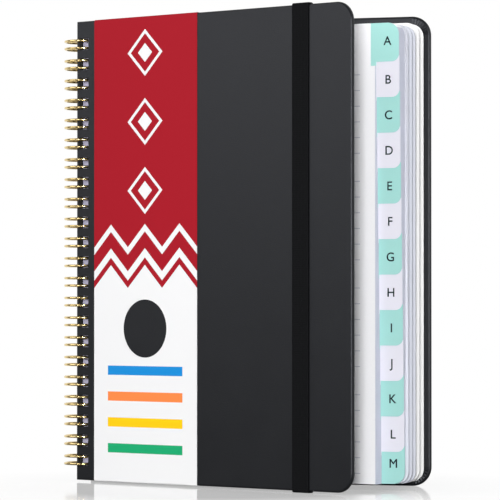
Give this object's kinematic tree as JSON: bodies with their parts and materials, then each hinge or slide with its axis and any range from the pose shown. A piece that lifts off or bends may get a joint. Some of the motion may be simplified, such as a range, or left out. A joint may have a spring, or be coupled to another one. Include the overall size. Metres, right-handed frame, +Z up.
{
  "type": "address book",
  "caption": "Wire-bound address book with stepped index tabs, leathercloth covers, an elastic closing band and a paper sleeve; the cover opens and the leaves fan with it.",
  "frame": {"origin": "under the middle of the book's outer box, on the surface that it stands on", "axes": "+Z up along the binding, +X from the binding to the fore edge of the back cover, +Y out of the back cover's outer face, so the front cover faces -Y"},
  "size_m": [0.1607, 0.0738, 0.1974],
  "materials": {
    "leathercloth": "fine grain, satin",
    "grey_board": "pressed pulp board",
    "lining_card": "matt black card",
    "plated_wire": "polished gold plating",
    "elastic": "woven elastic",
    "sleeve_paper": "printed coated paper",
    "mint_tab_paper": "printed uncoated paper",
    "pale_tab_paper": "printed uncoated paper",
    "note_paper": "ruled uncoated paper"
  },
  "bodies": {
    "back_cover": {"back_cover_leather": "leathercloth", "back_cover_board": "grey_board", "back_cover_lining": "lining_card", "wire_binding": "plated_wire"},
    "front_cover": {"front_cover_leather": "leathercloth", "front_cover_board": "grey_board", "front_cover_lining": "lining_card", "paper_sleeve": "sleeve_paper"},
    "elastic": {"elastic_band": "elastic"},
    "leaf_a": {"tab_leaf_a": "mint_tab_paper"},
    "leaf_b": {"tab_leaf_b": "pale_tab_paper"},
    "leaf_c": {"tab_leaf_c": "mint_tab_paper"},
    "leaf_d": {"tab_leaf_d": "pale_tab_paper"},
    "leaf_e": {"tab_leaf_e": "mint_tab_paper"},
    "leaf_f": {"tab_leaf_f": "pale_tab_paper"},
    "leaf_g": {"tab_leaf_g": "mint_tab_paper"},
    "leaf_h": {"tab_leaf_h": "pale_tab_paper"},
    "leaf_i": {"tab_leaf_i": "mint_tab_paper"},
    "leaf_j": {"tab_leaf_j": "pale_tab_paper"},
    "leaf_k": {"tab_leaf_k": "mint_tab_paper"},
    "leaf_l": {"tab_leaf_l": "pale_tab_paper"},
    "leaf_m": {"tab_leaf_m": "mint_tab_paper"},
    "leaves_n_to_s": {"tab_leaves_n_to_s": "pale_tab_paper"},
    "leaves_t_to_z": {"tab_leaves_t_to_z": "pale_tab_paper"},
    "front_spares": {"front_spare_leaves": "pale_tab_paper"},
    "back_spares": {"back_spare_leaves": "pale_tab_paper"},
    "front_notes": {"front_note_leaves": "note_paper"},
    "back_notes": {"back_note_leaves": "note_paper"}
  },
  "joints": [
    {"name": "front_cover_hinge", "type": "hinge", "parent": "back_cover", "child": "front_cover", "pos_m": [-0.07192, 0.0284, 0.098], "axis": [0, 0, -1], "range_deg": [-23, 157]},
    {"name": "elastic_slide", "type": "slide", "parent": "front_cover", "child": "elastic", "axis": [0.9205, -0.3907, 0], "range_m": [-0.045, 0.0115]},
    {"name": "leaf_a_hinge", "type": "hinge", "parent": "back_cover", "child": "leaf_a", "pos_m": [-0.07192, 0.0284, 0.098], "axis": [0, 0, -1], "range_deg": [-9.5, 64.85]},
    {"name": "leaf_b_hinge", "type": "hinge", "parent": "back_cover", "child": "leaf_b", "pos_m": [-0.07192, 0.0284, 0.098], "axis": [0, 0, -1], "range_deg": [-9.41, 64.19]},
    {"name": "leaf_c_hinge", "type": "hinge", "parent": "back_cover", "child": "leaf_c", "pos_m": [-0.07192, 0.0284, 0.098], "axis": [0, 0, -1], "range_deg": [-9.31, 63.54]},
    {"name": "leaf_d_hinge", "type": "hinge", "parent": "back_cover", "child": "leaf_d", "pos_m": [-0.07192, 0.0284, 0.098], "axis": [0, 0, -1], "range_deg": [-9.21, 62.89]},
    {"name": "leaf_e_hinge", "type": "hinge", "parent": "back_cover", "child": "leaf_e", "pos_m": [-0.07192, 0.0284, 0.098], "axis": [0, 0, -1], "range_deg": [-9.12, 62.23]},
    {"name": "leaf_f_hinge", "type": "hinge", "parent": "back_cover", "child": "leaf_f", "pos_m": [-0.07192, 0.0284, 0.098], "axis": [0, 0, -1], "range_deg": [-9.02, 61.58]},
    {"name": "leaf_g_hinge", "type": "hinge", "parent": "back_cover", "child": "leaf_g", "pos_m": [-0.07192, 0.0284, 0.098], "axis": [0, 0, -1], "range_deg": [-8.93, 60.92]},
    {"name": "leaf_h_hinge", "type": "hinge", "parent": "back_cover", "child": "leaf_h", "pos_m": [-0.07192, 0.0284, 0.098], "axis": [0, 0, -1], "range_deg": [-8.83, 60.27]},
    {"name": "leaf_i_hinge", "type": "hinge", "parent": "back_cover", "child": "leaf_i", "pos_m": [-0.07192, 0.0284, 0.098], "axis": [0, 0, -1], "range_deg": [-8.73, 59.62]},
    {"name": "leaf_j_hinge", "type": "hinge", "parent": "back_cover", "child": "leaf_j", "pos_m": [-0.07192, 0.0284, 0.098], "axis": [0, 0, -1], "range_deg": [-8.64, 58.96]},
    {"name": "leaf_k_hinge", "type": "hinge", "parent": "back_cover", "child": "leaf_k", "pos_m": [-0.07192, 0.0284, 0.098], "axis": [0, 0, -1], "range_deg": [-8.54, 58.31]},
    {"name": "leaf_l_hinge", "type": "hinge", "parent": "back_cover", "child": "leaf_l", "pos_m": [-0.07192, 0.0284, 0.098], "axis": [0, 0, -1], "range_deg": [-8.45, 57.65]},
    {"name": "leaf_m_hinge", "type": "hinge", "parent": "back_cover", "child": "leaf_m", "pos_m": [-0.07192, 0.0284, 0.098], "axis": [0, 0, -1], "range_deg": [-8.35, 57]},
    {"name": "leaves_n_to_s_hinge", "type": "hinge", "parent": "back_cover", "child": "leaves_n_to_s", "pos_m": [-0.07192, 0.0284, 0.098], "axis": [0, 0, -1], "range_deg": [-8.15, 55.63]},
    {"name": "leaves_t_to_z_hinge", "type": "hinge", "parent": "back_cover", "child": "leaves_t_to_z", "pos_m": [-0.07192, 0.0284, 0.098], "axis": [0, 0, -1], "range_deg": [-7.9, 53.93]},
    {"name": "front_spares_hinge", "type": "hinge", "parent": "back_cover", "child": "front_spares", "pos_m": [-0.07192, 0.0284, 0.098], "axis": [0, 0, -1], "range_deg": [-6.4, 43.69]},
    {"name": "back_spares_hinge", "type": "hinge", "parent": "back_cover", "child": "back_spares", "pos_m": [-0.07192, 0.0284, 0.098], "axis": [0, 0, -1], "range_deg": [-4.9, 33.45]},
    {"name": "front_notes_hinge", "type": "hinge", "parent": "back_cover", "child": "front_notes", "pos_m": [-0.07192, 0.0284, 0.098], "axis": [0, 0, -1], "range_deg": [-2.95, 20.14]},
    {"name": "back_notes_hinge", "type": "hinge", "parent": "back_cover", "child": "back_notes", "pos_m": [-0.07192, 0.0284, 0.098], "axis": [0, 0, -1], "range_deg": [-0.5, 3.41]}
  ],
  "couplings": [
    {"joint": "leaf_a_hinge", "follows": "front_cover_hinge", "ratio": 0.41304},
    {"joint": "leaf_b_hinge", "follows": "front_cover_hinge", "ratio": 0.40888},
    {"joint": "leaf_c_hinge", "follows": "front_cover_hinge", "ratio": 0.40471},
    {"joint": "leaf_d_hinge", "follows": "front_cover_hinge", "ratio": 0.40054},
    {"joint": "leaf_e_hinge", "follows": "front_cover_hinge", "ratio": 0.39638},
    {"joint": "leaf_f_hinge", "follows": "front_cover_hinge", "ratio": 0.39221},
    {"joint": "leaf_g_hinge", "follows": "front_cover_hinge", "ratio": 0.38804},
    {"joint": "leaf_h_hinge", "follows": "front_cover_hinge", "ratio": 0.38388},
    {"joint": "leaf_i_hinge", "follows": "front_cover_hinge", "ratio": 0.37971},
    {"joint": "leaf_j_hinge", "follows": "front_cover_hinge", "ratio": 0.37554},
    {"joint": "leaf_k_hinge", "follows": "front_cover_hinge", "ratio": 0.37138},
    {"joint": "leaf_l_hinge", "follows": "front_cover_hinge", "ratio": 0.36721},
    {"joint": "leaf_m_hinge", "follows": "front_cover_hinge", "ratio": 0.36304},
    {"joint": "leaves_n_to_s_hinge", "follows": "front_cover_hinge", "ratio": 0.35435},
    {"joint": "leaves_t_to_z_hinge", "follows": "front_cover_hinge", "ratio": 0.34348},
    {"joint": "front_spares_hinge", "follows": "front_cover_hinge", "ratio": 0.27826},
    {"joint": "back_spares_hinge", "follows": "front_cover_hinge", "ratio": 0.21304},
    {"joint": "front_notes_hinge", "follows": "front_cover_hinge", "ratio": 0.12826},
    {"joint": "back_notes_hinge", "follows": "front_cover_hinge", "ratio": 0.021739}
  ]
}
